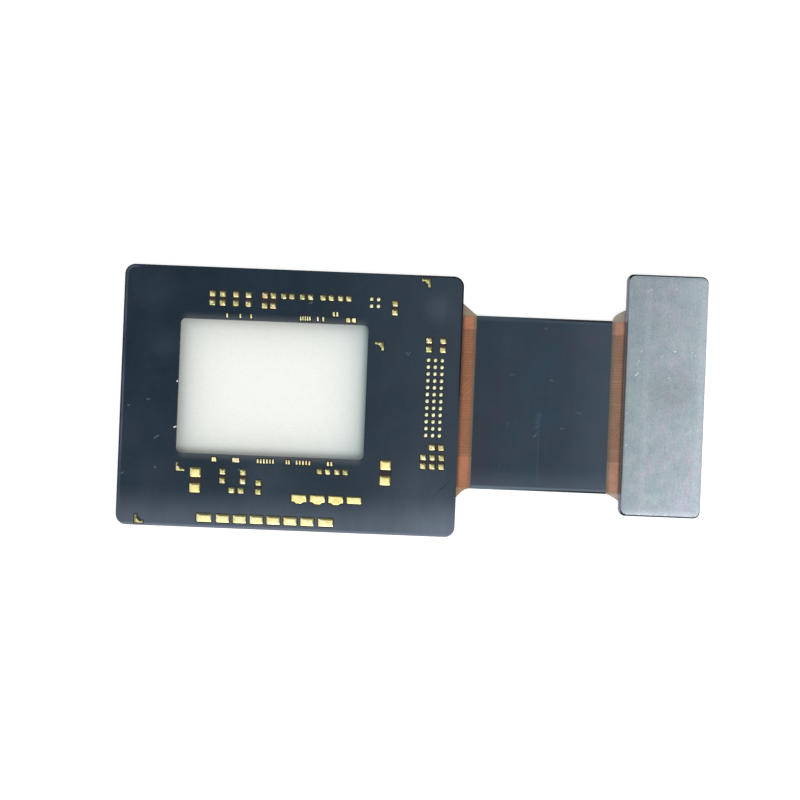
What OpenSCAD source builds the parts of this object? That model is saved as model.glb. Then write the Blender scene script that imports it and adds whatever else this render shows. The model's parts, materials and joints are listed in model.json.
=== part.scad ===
// Rigid-flex circuit board of a small camera module, without its components.
// One flexible core runs through two rigid ends. The wide end holds the image sensor in its
// window, the narrow end carries the connector on its back and a steel stiffener on its front,
// and the tail between them bends.
// X runs along the tail towards the connector, Y across it and Z through the layers, front up.
// The origin lies under the middle of the whole outline, on the back face.

/* [Sensor board] */
// Length of the sensor board, along the tail
board_l = 14.88; // [14:0.02:18]
// Width of the sensor board, across the tail
board_w = 11.44; // [10.8:0.02:13]
// Corner radius of the sensor board
board_corner_r = 0.45; // [0.1:0.05:0.8]

/* [Sensor window] */
// Length of the window, along the tail
window_l = 8.24; // [7:0.02:9]
// Width of the window, across the tail
window_w = 5.9; // [5:0.1:6.6]
// Board left between the window and the end away from the tail
window_left = 2.52; // [1.6:0.02:3.3]
// Board left between the window and the lower edge
window_below = 3.24; // [2.6:0.02:3.9]
// Corner radius of the window
window_corner_r = 0.2; // [0.05:0.05:0.5]

/* [Flex tail] */
// Length of the tail between the two boards
tail_l = 7.14; // [4:0.02:30]
// Width of the tail
tail_w = 7.6; // [6:0.1:8.5]
// How far the tail's centre line lies above the sensor board's
tail_shift = 0.25; // [-0.8:0.05:0.8]
// Bare length of the tail next to the sensor board
neck_sensor_l = 0.62; // [0.4:0.02:1.2]
// Bare length of the tail next to the connector board
neck_plug_l = 0.58; // [0.4:0.02:1.2]
// How far the tail widens where it meets the upper corner of the sensor board
flare_sensor_upper = 0.5; // [0.1:0.05:0.9]
// How far it widens at the lower corner of the sensor board
flare_sensor_lower = 0.42; // [0.1:0.05:0.9]
// How far it widens at the upper corner of the connector board
flare_plug_upper = 0.5; // [0.1:0.05:0.9]
// How far it widens at the lower corner of the connector board
flare_plug_lower = 0.28; // [0.1:0.05:0.5]

/* [Connector board] */
// Length of the connector board, along the tail
plug_l = 3.58; // [2.8:0.02:5]
// Width of the connector board, across the tail
plug_w = 10.6; // [10.3:0.05:14]
// How far the connector board's centre line lies above the tail's
plug_shift = 0.58; // [0:0.02:0.8]
// Corner radius of the connector board
plug_corner_r = 0.3; // [0.1:0.05:0.8]

/* [Stiffener] */
// Thickness of the steel stiffener
stiffener_t = 0.2; // [0.1:0.05:0.5]
// Thickness of the adhesive under the stiffener
adhesive_t = 0.03; // [0.02:0.005:0.06]
// How much smaller the stiffener is than its board, on each side
stiffener_inset = 0.06; // [0.04:0.01:0.2]
// How far the stiffener was glued away from the middle, along the tail
stiffener_offset = 0.04; // [-0.04:0.01:0.04]

/* [Layers] */
// Thickness of the polyimide core
core_t = 0.05; // [0.025:0.005:0.1]
// Thickness of each polyimide coverlay
coverlay_t = 0.03; // [0.025:0.005:0.05]
// Thickness of each rigid laminate
laminate_t = 0.14; // [0.08:0.01:0.3]
// Thickness of each solder mask
mask_t = 0.025; // [0.022:0.001:0.04]
// Thickness of the copper
copper_t = 0.018; // [0.01:0.001:0.02]
// Thickness of each shielding film
film_t = 0.018; // [0.01:0.001:0.04]

/* [Copper lands] */
// Clearance between a land and the edge of its mask opening
mask_gap = 0.04; // [0.02:0.005:0.05]
// Height of an actuator land, across the tail
actuator_land_w = 0.36; // [0.2:0.02:0.5]
// Distance from one inner actuator land to the next
actuator_pitch = 0.74; // [0.7:0.005:0.85]
// Diameter of a ball land under the two chips
ball_land_d = 0.17; // [0.1:0.01:0.2]
// Distance from one ball land to the next in the driver array
driver_pitch = 0.3; // [0.3:0.01:0.34]
// Distance from one contact to the next in the connector
contact_pitch = 0.35; // [0.33:0.01:0.5]

/* [Copper traces] */
// Distance from one signal trace to the next
trace_pitch = 0.12; // [0.1:0.01:0.2]
// Width of a signal trace
trace_w = 0.07; // [0.05:0.01:0.08]

/* [Hidden] */
$fn = 48;

// Heights of the layers, from the back face up
back_laminate_z = mask_t;
back_coverlay_z = back_laminate_z + laminate_t;
core_z = back_coverlay_z + coverlay_t;
front_coverlay_z = core_z + core_t;
front_laminate_z = front_coverlay_z + coverlay_t;
front_mask_z = front_laminate_z + laminate_t;
adhesive_z = front_mask_z + mask_t;
stiffener_z = adhesive_z + adhesive_t;

// Edges, measured from the middle of the sensor board
board_right = board_l / 2;
board_top = board_w / 2;
plug_x = board_right + tail_l + plug_l / 2;
plug_y = tail_shift + plug_shift;
tail_top = tail_shift + tail_w / 2;
tail_bottom = tail_shift - tail_w / 2;
film_start = board_right + neck_sensor_l;
film_end = board_right + tail_l - neck_plug_l;
window_x = -board_right + window_left + window_l / 2;
window_y = -board_top + window_below + window_w / 2;
window_top = window_y + window_w / 2;
window_bottom = window_y - window_w / 2;
window_right = window_x + window_l / 2;
window_start = window_x - window_l / 2;

// Middle of the whole outline, which goes to the origin
part_x = (plug_x + plug_l / 2 - board_right) / 2;
part_y = (max(board_top, plug_y + plug_w / 2) + min(-board_top, plug_y - plug_w / 2)) / 2;

// Overlap of outlines that are joined, and steps of a drawn curve
join = 0.1;
flare_steps = 10;
corner_steps = 4;

// Lands for small parts: length along the pair, width across it, distance between the two
capacitor_land = [0.25, 0.24, 0.39];
large_capacitor_land = [0.25, 0.24, 0.45];
resistor_land = [0.22, 0.23, 0.36];
large_resistor_land = [0.26, 0.25, 0.4];
supply_land = [0.41, 0.46, 0.68];
land_corner_r = 0.05;

// Small parts above the window: columns from its middle, rows from its upper edge
upper_capacitor_columns = [-2.77, -2.32, -1.74, -1.19];
upper_capacitor_row = 0.94;
upper_large_capacitor_columns = [-0.47, -0.1];
upper_large_capacitor_row = 0.92;
upper_resistor_columns = [0.53, 1.35, 2.26, 3.03];
upper_resistor_row = 1.14;

// Parts at the window's corners: distance along the tail and across it from the corner
corner_capacitor = [1.13, 0.82];
corner_memory = [0.24, 1.01];
corner_supply_left = [0.9, 1.17];
corner_supply_right = [0.99, 0.53];

// Small parts below the window: column from its middle, distance below its lower edge
lower_capacitors = [[-2.03, 0.95], [-1.13, 0.95], [-0.44, 1.38]];
lower_resistor = [-1.4, 1.56];
lower_resistor_columns = [2.4, 3.17];
lower_resistor_row = 0.58;

// Actuator lands: a row of inner lands with a wider one at each end
actuator_inner_count = 6;
actuator_land_l = 0.58;
actuator_end_land_l = 0.66;
actuator_end_step = 0.82;
actuator_edge = 0.25;
actuator_shift = -0.09;

// Actuator driver chip: columns and rows of ball lands, placed from the edge next to the tail
driver_columns = 3;
driver_rows = 12;
driver_edge = 1.13;
driver_rise = 0.11;
driver_x = board_right - driver_edge;
driver_y = tail_shift + driver_rise;
memory_columns = 2;
memory_rows = 2;
memory_pitch = [0.3, 0.3];

// Small parts round the driver chip, from its middle
driver_upper_columns = [-0.31, 0.31];
driver_upper_row = 2.32;
driver_resistor = [0.2, 2.17];
driver_lower_columns = [-0.37, 0.03, 0.43];
driver_lower_row = 2.81;

// Test lands
test_count = 4;
test_land = [0.64, 0.31];
test_tab_base = 0.42;
test_tab_tip = 0.22;
test_tab_h = 0.08;
test_column = 1.36;
test_pitch = 0.81;
test_rise = 1.45;

// Bond fingers. Each group has a place from the window's middle, a distance from the row, a
// distance from one finger to the next and a finger width, and its count stands in a second list.
finger_l = 0.19;
upper_finger_edge = 0.2;
lower_finger_edge = 0.23;
upper_fingers = [
    [-2.1, 0, 0, 0.07], [-1.52, 0, 0, 0.07], [-1.05, 0, 0, 0.08], [1.33, 0, 0.1, 0.06],
    [1.88, 0, 0, 0.07], [2.12, 0, 0, 0.08], [2.65, 0.24, 0.15, 0.09], [3.34, 0, 0.25, 0.17]
];
upper_finger_counts = [1, 1, 1, 5, 1, 1, 2, 2];
lower_fingers = [
    [-2.43, 0, 0, 0.19], [-1.47, 0, 0, 0.3], [-0.17, 0, 0.135, 0.07], [0.81, 0, 0.11, 0.07],
    [1.48, 0, 0.14, 0.07], [2.65, 0, 0.15, 0.08]
];
lower_finger_counts = [1, 1, 6, 2, 5, 2];

// Alignment marks, and the place of each outer corner from a corner of the board or the window
mark_arm = 0.37;
mark_line = 0.1;
mark_fill = 0.15;
board_mark_upper = [1.48, 0.15];
board_mark_lower = [0.83, 0.1];
window_mark_upper = [0.69, 0.7];
window_mark_lower = [0.04, 0.79];

// Connector lands on the back
contact_land = [0.5, 0.2];
contact_row_x = 0.95;
contact_end = 1.25;
anchor_land = [0.7, 0.35];
anchor_gap = 0.5;

// Ground copper beside the signal traces, and how far all copper runs into the boards
ground_upper_w = 0.5;
ground_lower_w = 1.3;
copper_edge = 0.1;
copper_overlap = 0.5;
trace_group = 8;
trace_group_gap = 0.06;
sensor_hatch_group = 2;
plug_hatch_group = 4;
hatch_line = 0.12;
hatch_pitch = 0.25;

// Outlines

function corner_points(x, y, r, start) =
    [for (i = [0:corner_steps])
        let (a = start + 90 * i / corner_steps)
        [x + r * cos(a), y + r * sin(a)]];

function rounded_points(l, w, r) =
    let (x = l / 2 - r, y = w / 2 - r)
    concat(
        corner_points(x, y, r, 0),
        corner_points(-x, y, r, 90),
        corner_points(-x, -y, r, 180),
        corner_points(x, -y, r, 270)
    );

// Plate with truly round corners, centred
module rounded_plate(l, w, r) {
    square([l - 2 * r, w], center = true);
    square([l, w - 2 * r], center = true);
    for (x = [-1, 1], y = [-1, 1])
        translate([x * (l / 2 - r), y * (w / 2 - r)])
            circle(r);
}

// Widening of the tail at a board, from the corner at x, y. Length l along the tail and height h
// across it take the sign of their direction. A bow of 1 is straight, more hollows it and less
// rounds it. The points run counter-clockwise.
module flare(x, y, l, h, bow) {
    curve = [
        for (i = [0:flare_steps])
            let (t = i / flare_steps)
            [x + l * t, y + h * pow(1 - t, bow)]
    ];
    inner_x = x - sign(l) * join;
    inner_y = y - sign(h) * join;
    points = concat(curve, [[x + l, inner_y], [inner_x, inner_y], [inner_x, y + h]]);
    last = len(points) - 1;
    polygon(l * h > 0 ? [for (i = [0:last]) points[last - i]] : points);
}

module board_outline() {
    rounded_plate(board_l, board_w, board_corner_r);
}

module window_outline() {
    translate([window_x, window_y])
        rounded_plate(window_l, window_w, window_corner_r);
}

module plug_outline() {
    translate([plug_x, plug_y])
        rounded_plate(plug_l, plug_w, plug_corner_r);
}

module tail_outline() {
    plug_left = board_right + tail_l;
    translate([board_right - join, tail_bottom])
        square([tail_l + 2 * join, tail_w]);
    flare(board_right, tail_top, neck_sensor_l, flare_sensor_upper, 1);
    flare(board_right, tail_bottom, neck_sensor_l, -flare_sensor_lower, 2);
    flare(plug_left, tail_top, -neck_plug_l, flare_plug_upper, 0.5);
    flare(plug_left, tail_bottom, -neck_plug_l, -flare_plug_lower, 1.2);
}

module flex_outline() {
    difference() {
        union() {
            board_outline();
            tail_outline();
            plug_outline();
        }
        window_outline();
    }
}

// Raises an outline to a layer, and brings the part's middle to the origin
module layer(z, t) {
    translate([-part_x, -part_y, z])
        linear_extrude(height = t)
            children();
}

// Copper lands. With grow they draw their openings in the mask instead.

module land(l, w, grow) {
    polygon(rounded_points(l + 2 * grow, w + 2 * grow, land_corner_r + grow));
}

// Two lands for a part with two ends, in one opening
module pair(size, grow) {
    if (grow > 0)
        land(size[0] + size[2], size[1], grow);
    else
        for (side = [-1, 1])
            translate([side * size[2] / 2, 0])
                land(size[0], size[1], 0);
}

module upright_pair(x, y, size, grow) {
    translate([x, y])
        rotate(90)
            pair(size, grow);
}

module level_pair(x, y, size, grow) {
    translate([x, y])
        pair(size, grow);
}

module ball_array(columns, rows, pitch, grow) {
    for (i = [0:columns - 1], j = [0:rows - 1])
        translate([(i - (columns - 1) / 2) * pitch[0], (j - (rows - 1) / 2) * pitch[1]])
            circle(ball_land_d / 2 + grow, $fn = 24);
}

module actuator_pattern(grow = 0) {
    half = (actuator_inner_count - 1) / 2;
    y = -board_top + actuator_edge + actuator_land_w / 2;
    translate([window_x + actuator_shift, y]) {
        for (i = [-half:half])
            translate([i * actuator_pitch, 0])
                land(actuator_land_l, actuator_land_w, grow);
        for (side = [-1, 1])
            translate([side * (half * actuator_pitch + actuator_end_step), 0])
                land(actuator_end_land_l, actuator_land_w, grow);
    }
}

module driver_pattern(grow = 0) {
    translate([driver_x, driver_y])
        ball_array(driver_columns, driver_rows, [driver_pitch, driver_pitch], grow);
}

module memory_pattern(grow = 0) {
    translate([window_right + corner_memory[0], window_top + corner_memory[1]])
        ball_array(memory_columns, memory_rows, memory_pitch, grow);
}

module supply_pattern(grow = 0) {
    left = corner_supply_left;
    right = corner_supply_right;
    upright_pair(window_start + left[0], window_bottom - left[1], supply_land, grow);
    upright_pair(window_right + right[0], window_bottom - right[1], supply_land, grow);
}

module upper_parts(grow) {
    for (x = upper_capacitor_columns)
        upright_pair(window_x + x, window_top + upper_capacitor_row, capacitor_land, grow);
    large_row = window_top + upper_large_capacitor_row;
    for (x = upper_large_capacitor_columns)
        upright_pair(window_x + x, large_row, large_capacitor_land, grow);
    for (x = upper_resistor_columns)
        level_pair(window_x + x, window_top + upper_resistor_row, resistor_land, grow);
    corner = corner_capacitor;
    upright_pair(window_right + corner[0], window_top + corner[1], capacitor_land, grow);
}

module lower_parts(grow) {
    for (place = lower_capacitors)
        upright_pair(window_x + place[0], window_bottom - place[1], capacitor_land, grow);
    for (x = lower_resistor_columns)
        level_pair(window_x + x, window_bottom - lower_resistor_row, resistor_land, grow);
    place = lower_resistor;
    level_pair(window_x + place[0], window_bottom - place[1], large_resistor_land, grow);
}

module driver_parts(grow) {
    for (x = driver_upper_columns)
        upright_pair(driver_x + x, driver_y + driver_upper_row, capacitor_land, grow);
    for (x = driver_lower_columns)
        upright_pair(driver_x + x, driver_y - driver_lower_row, capacitor_land, grow);
    place = driver_resistor;
    level_pair(driver_x + place[0], driver_y - place[1], large_resistor_land, grow);
}

module passive_pattern(grow = 0) {
    upper_parts(grow);
    lower_parts(grow);
    driver_parts(grow);
}

// Land with a tapered tab on its lower side
module tabbed_land(grow) {
    half_l = test_land[0] / 2 + grow;
    half_w = test_land[1] / 2 + grow;
    base = test_tab_base / 2 + grow;
    tip = test_tab_tip / 2 + grow / 2;
    low = -half_w - test_tab_h;
    polygon([
        [half_l, half_w], [-half_l, half_w], [-half_l, -half_w], [-base, -half_w],
        [-tip, low], [tip, low], [base, -half_w], [half_l, -half_w]
    ]);
}

module test_pattern(grow = 0) {
    for (i = [0:test_count - 1])
        translate([window_x + test_column + i * test_pitch, -board_top + test_rise])
            if (i < test_count - 1)
                tabbed_land(grow);
            else
                land(test_land[0], test_land[1], grow);
}

// One group of fingers side by side, in one opening
module finger_group(x, y, count, pitch, width, grow) {
    translate([x, y])
        if (grow > 0)
            square([(count - 1) * pitch + width + 2 * grow, finger_l + 2 * grow], center = true);
        else
            for (i = [0:count - 1])
                translate([(i - (count - 1) / 2) * pitch, 0])
                    square([width, finger_l], center = true);
}

module finger_row(y, groups, counts, grow) {
    for (i = [0:len(groups) - 1]) {
        group = groups[i];
        finger_group(window_x + group[0], y + group[1], counts[i], group[2], group[3], grow);
    }
}

module finger_pattern(grow = 0) {
    finger_row(window_top + upper_finger_edge, upper_fingers, upper_finger_counts, grow);
    finger_row(window_bottom - lower_finger_edge, lower_fingers, lower_finger_counts, grow);
}

// Angle mark with its outer corner at the origin and a filled inner corner
module angle_mark(grow) {
    outer = mark_arm + grow;
    inner = mark_line + grow;
    slope = inner + mark_fill + grow * (sqrt(2) - 1);
    polygon([
        [grow, grow], [-outer, grow], [-outer, -inner], [-slope, -inner],
        [-inner, -slope], [-inner, -outer], [grow, -outer]
    ]);
}

module mark_pattern(grow = 0) {
    translate([board_right - board_mark_upper[0], board_top - board_mark_upper[1]])
        angle_mark(grow);
    translate([window_right + window_mark_upper[0], window_top - window_mark_upper[1]])
        angle_mark(grow);
    translate([-board_right + board_mark_lower[0], -board_top + board_mark_lower[1]])
        rotate(180)
            angle_mark(grow);
    translate([window_start + window_mark_lower[0], window_bottom - window_mark_lower[1]])
        rotate(180)
            angle_mark(grow);
}

module contact_pattern(grow = 0) {
    count = floor((plug_w - 2 * contact_end) / contact_pitch) + 1;
    half = (count - 1) / 2 * contact_pitch;
    translate([plug_x, plug_y])
        for (row = [-1, 1]) {
            for (i = [0:count - 1])
                translate([row * contact_row_x, i * contact_pitch - half])
                    land(contact_land[0], contact_land[1], grow);
            for (end = [-1, 1])
                translate([row * contact_row_x, end * (half + anchor_gap)])
                    land(anchor_land[0], anchor_land[1], grow);
        }
}

module front_openings() {
    actuator_pattern(mask_gap);
    driver_pattern(mask_gap);
    memory_pattern(mask_gap);
    supply_pattern(mask_gap);
    passive_pattern(mask_gap);
    test_pattern(mask_gap);
    finger_pattern(mask_gap);
    mark_pattern(mask_gap);
}

// Copper of the tail

copper_start = board_right - copper_overlap;
copper_end = board_right + tail_l + copper_overlap;
copper_top = tail_top - copper_edge;
copper_bottom = tail_bottom + copper_edge;
signal_top = copper_top - ground_upper_w - trace_group_gap;
signal_bottom = copper_bottom + ground_lower_w + trace_group_gap;
sensor_hatch_end = film_start + copper_overlap;
plug_hatch_start = film_end - copper_overlap;

// Upper edge of signal trace i, with a wider gap after each group
function signal_y(i) = signal_top - i * trace_pitch - floor(i / trace_group) * trace_group_gap;

module copper_strip(start, end, y, w) {
    translate([start, y])
        square([end - start, w]);
}

// Signal traces. Two groups end early, where slanted lines take their place over a neck.
module signal_strips() {
    for (i = [0:ceil((signal_top - signal_bottom) / trace_pitch)]) {
        group = floor(i / trace_group);
        y = signal_y(i) - trace_w;
        start = group == sensor_hatch_group ? sensor_hatch_end + trace_group_gap : copper_start;
        end = group == plug_hatch_group ? plug_hatch_start - trace_group_gap : copper_end;
        if (y > signal_bottom)
            copper_strip(start, end, y, trace_w);
    }
}

// Slanted copper lines in place of one group of signal traces
module hatch_patch(start, end, group) {
    top = signal_y(group * trace_group);
    bottom = max(signal_bottom, signal_y((group + 1) * trace_group - 1) - trace_w);
    reach = end - start + top - bottom;
    if (top > bottom)
        intersection() {
            copper_strip(start, end, bottom, top - bottom);
            for (i = [0:ceil(reach / hatch_pitch)])
                translate([start, top - i * hatch_pitch])
                    rotate(45)
                        square([reach * sqrt(2), hatch_line]);
        }
}

module trace_pattern() {
    copper_strip(copper_start, copper_end, copper_top - ground_upper_w, ground_upper_w);
    copper_strip(copper_start, copper_end, copper_bottom, ground_lower_w);
    signal_strips();
    hatch_patch(copper_start, sensor_hatch_end, sensor_hatch_group);
    hatch_patch(plug_hatch_start, copper_end, plug_hatch_group);
}

module ground_plane_pattern() {
    copper_strip(copper_start, copper_end, copper_bottom, copper_top - copper_bottom);
}

// Flexible inner layer

module flex_core() {
    color("darkgoldenrod")
        layer(core_z, core_t)
            flex_outline();
}

module front_traces() {
    color("chocolate")
        layer(front_coverlay_z, copper_t)
            trace_pattern();
}

module back_ground_plane() {
    color("chocolate")
        layer(core_z - copper_t, copper_t)
            ground_plane_pattern();
}

module front_coverlay() {
    color("peru")
        difference() {
            layer(front_coverlay_z, coverlay_t)
                flex_outline();
            layer(front_coverlay_z, copper_t)
                trace_pattern();
        }
}

module back_coverlay() {
    color("peru")
        difference() {
            layer(back_coverlay_z, coverlay_t)
                flex_outline();
            layer(core_z - copper_t, copper_t)
                ground_plane_pattern();
        }
}

module film_outline() {
    translate([film_start, tail_bottom])
        square([film_end - film_start, tail_w]);
}

module front_shield_film() {
    color("darkslategray")
        layer(front_laminate_z, film_t)
            film_outline();
}

module back_shield_film() {
    color("darkslategray")
        layer(back_coverlay_z - film_t, film_t)
            film_outline();
}

// Sensor board

module sensor_board_plate() {
    difference() {
        board_outline();
        window_outline();
    }
}

module sensor_board_front_laminate() {
    color("darkolivegreen")
        layer(front_laminate_z, laminate_t)
            sensor_board_plate();
}

module sensor_board_back_laminate() {
    color("darkolivegreen")
        layer(back_laminate_z, laminate_t)
            sensor_board_plate();
}

module sensor_board_front_mask() {
    color([0.16, 0.21, 0.26])
        layer(front_mask_z, mask_t)
            difference() {
                sensor_board_plate();
                front_openings();
            }
}

module sensor_board_back_mask() {
    color([0.16, 0.21, 0.26])
        layer(0, mask_t)
            sensor_board_plate();
}

// Connector board

module connector_board_front_laminate() {
    color("darkolivegreen")
        layer(front_laminate_z, laminate_t)
            plug_outline();
}

module connector_board_back_laminate() {
    color("darkolivegreen")
        layer(back_laminate_z, laminate_t)
            plug_outline();
}

module connector_board_front_mask() {
    color([0.16, 0.21, 0.26])
        layer(front_mask_z, mask_t)
            plug_outline();
}

module connector_board_back_mask() {
    color([0.16, 0.21, 0.26])
        layer(0, mask_t)
            difference() {
                plug_outline();
                contact_pattern(mask_gap);
            }
}

module stiffener_outline() {
    translate([plug_x + stiffener_offset, plug_y])
        rounded_plate(plug_l - 2 * stiffener_inset, plug_w - 2 * stiffener_inset, plug_corner_r);
}

module stiffener_adhesive() {
    color("gainsboro")
        layer(adhesive_z, adhesive_t)
            stiffener_outline();
}

module stiffener() {
    color("lightsteelblue")
        layer(stiffener_z, stiffener_t)
            stiffener_outline();
}

// Gold-plated lands

module gold_lands() {
    color("gold")
        layer(front_mask_z, copper_t)
            children();
}

module actuator_lands() {
    gold_lands()
        actuator_pattern();
}

module actuator_driver_lands() {
    gold_lands()
        driver_pattern();
}

module memory_chip_lands() {
    gold_lands()
        memory_pattern();
}

module supply_capacitor_lands() {
    gold_lands()
        supply_pattern();
}

module passive_lands() {
    gold_lands()
        passive_pattern();
}

module test_lands() {
    gold_lands()
        test_pattern();
}

module bond_fingers() {
    gold_lands()
        finger_pattern();
}

module alignment_marks() {
    gold_lands()
        mark_pattern();
}

module connector_lands() {
    color("gold")
        layer(mask_t - copper_t, copper_t)
            contact_pattern();
}

flex_core();
front_traces();
back_ground_plane();
front_coverlay();
back_coverlay();
front_shield_film();
back_shield_film();
sensor_board_front_laminate();
sensor_board_back_laminate();
sensor_board_front_mask();
sensor_board_back_mask();
connector_board_front_laminate();
connector_board_back_laminate();
connector_board_front_mask();
connector_board_back_mask();
stiffener_adhesive();
stiffener();
actuator_lands();
actuator_driver_lands();
memory_chip_lands();
supply_capacitor_lands();
passive_lands();
test_lands();
bond_fingers();
alignment_marks();
connector_lands();
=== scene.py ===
"""Looks of the rigid-flex circuit board of a small camera module, for Blender 4.5.

The solids come packed from part.scad. Blender's units are metres. Names that end in _MM, and
every length inside a material, are millimetres.
"""

import json
import math

import bmesh
import bpy
from mathutils import Matrix, Vector


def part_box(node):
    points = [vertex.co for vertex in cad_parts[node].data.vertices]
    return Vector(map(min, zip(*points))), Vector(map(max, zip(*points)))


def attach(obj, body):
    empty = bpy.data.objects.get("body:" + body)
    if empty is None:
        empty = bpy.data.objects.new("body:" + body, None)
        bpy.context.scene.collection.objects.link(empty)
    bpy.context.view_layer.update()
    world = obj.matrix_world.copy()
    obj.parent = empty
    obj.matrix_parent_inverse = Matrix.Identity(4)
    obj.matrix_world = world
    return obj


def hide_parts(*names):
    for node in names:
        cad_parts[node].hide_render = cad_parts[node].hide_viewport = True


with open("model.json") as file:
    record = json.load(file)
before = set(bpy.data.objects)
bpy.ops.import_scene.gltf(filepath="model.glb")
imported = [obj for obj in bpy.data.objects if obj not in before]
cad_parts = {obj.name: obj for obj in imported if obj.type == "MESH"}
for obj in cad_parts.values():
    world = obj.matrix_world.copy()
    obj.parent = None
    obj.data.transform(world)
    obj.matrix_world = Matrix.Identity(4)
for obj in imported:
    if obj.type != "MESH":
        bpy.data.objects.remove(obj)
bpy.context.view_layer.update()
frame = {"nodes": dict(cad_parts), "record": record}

MM = 0.001
WHITE = (1.0, 1.0, 1.0)
UP = 1
DOWN = -1

# Camera: straight above, turned a little, and aimed at a point between the two boards
CAMERA_TURN = math.radians(2.3)
CAMERA_AIM_MM = (-0.536, 0.0055, 0.44)
CAMERA_DISTANCE = 0.22
CAMERA_SENSOR_MM = 36.0
VIEW_WIDTH = 0.03509

# Lamps: a large soft one low on the right, and a weaker one across from it
KEY_PLACE = (0.08, -0.13, 0.26)
KEY_SIZE = 0.2
KEY_POWER = 0.46
FILL_PLACE = (-0.16, 0.12, 0.24)
FILL_SIZE = 0.2
FILL_POWER = 0.15
CEILING_LIGHT = 0.4
HORIZON_LIGHT = 0.66

# Floor
FLOOR_SIZE = 3.0
FLOOR_DROP = 0.00001
FLOOR_GLOW = 0.6
OPENING_CLEARANCE_MM = 0.06
WINDOW_FADE_MM = 0.62
WINDOW_GLOW = 0.1
WINDOW_EDGE_MM = (-0.12, -0.05)
PAPER_IN_WINDOW = (0.9, 0.93, 0.87)
PAPER_SHADE = (0.46, 0.52, 0.53)
PAPER_SHADE_RIGHT = (0.37, 0.49, 0.54)
WALL_SHADE = {"left": 0.93, "right": 0.9, "lower": 0.66, "upper": 0.62}

# Outlines of the pieces
BOARD_CORNER_MM = 0.45
WINDOW_CORNER_MM = 0.2

# Gap between the films of the flex and the copper, so that no two faces coincide
LAYER_GAP_MM = 0.002

# Copper strips along the tail's two sides, and how softly their edges show
GROUND_LOWER_MM = 1.3
GROUND_UPPER_MM = 0.5
GROUND_EDGE_MM = 0.05

# Plated lands: height and width of the crown, and how its rings step in and up
LAND_CROWN_MM = 0.009
CROWN_RINGS = (0.12, 0.3, 0.55, 0.8, 1.0, 1.15)
CROWN_WIDTH_MM = {
    "actuator_lands": 0.14,
    "supply_capacitor_lands": 0.14,
    "test_lands": 0.07,
    "passive_lands": 0.105,
    "actuator_driver_lands": 0.07,
    "memory_chip_lands": 0.07,
    "bond_fingers": 0.015,
    "connector_lands": 0.04,
    "alignment_marks": 0.05,
}

STIFFENER_BEVEL_MM = 0.035

# Mesh work: faces that count as facing a way, and what is welded, joined or kept sharp
FACING = 0.9
WELD_MM = 0.0002
FIRST_INSET_MM = 0.0001
SAME_HEIGHT_MM = 0.001
FLAT_ANGLE = 0.01
SHARP_ANGLE = math.radians(40)


# Shader nodes


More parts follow.
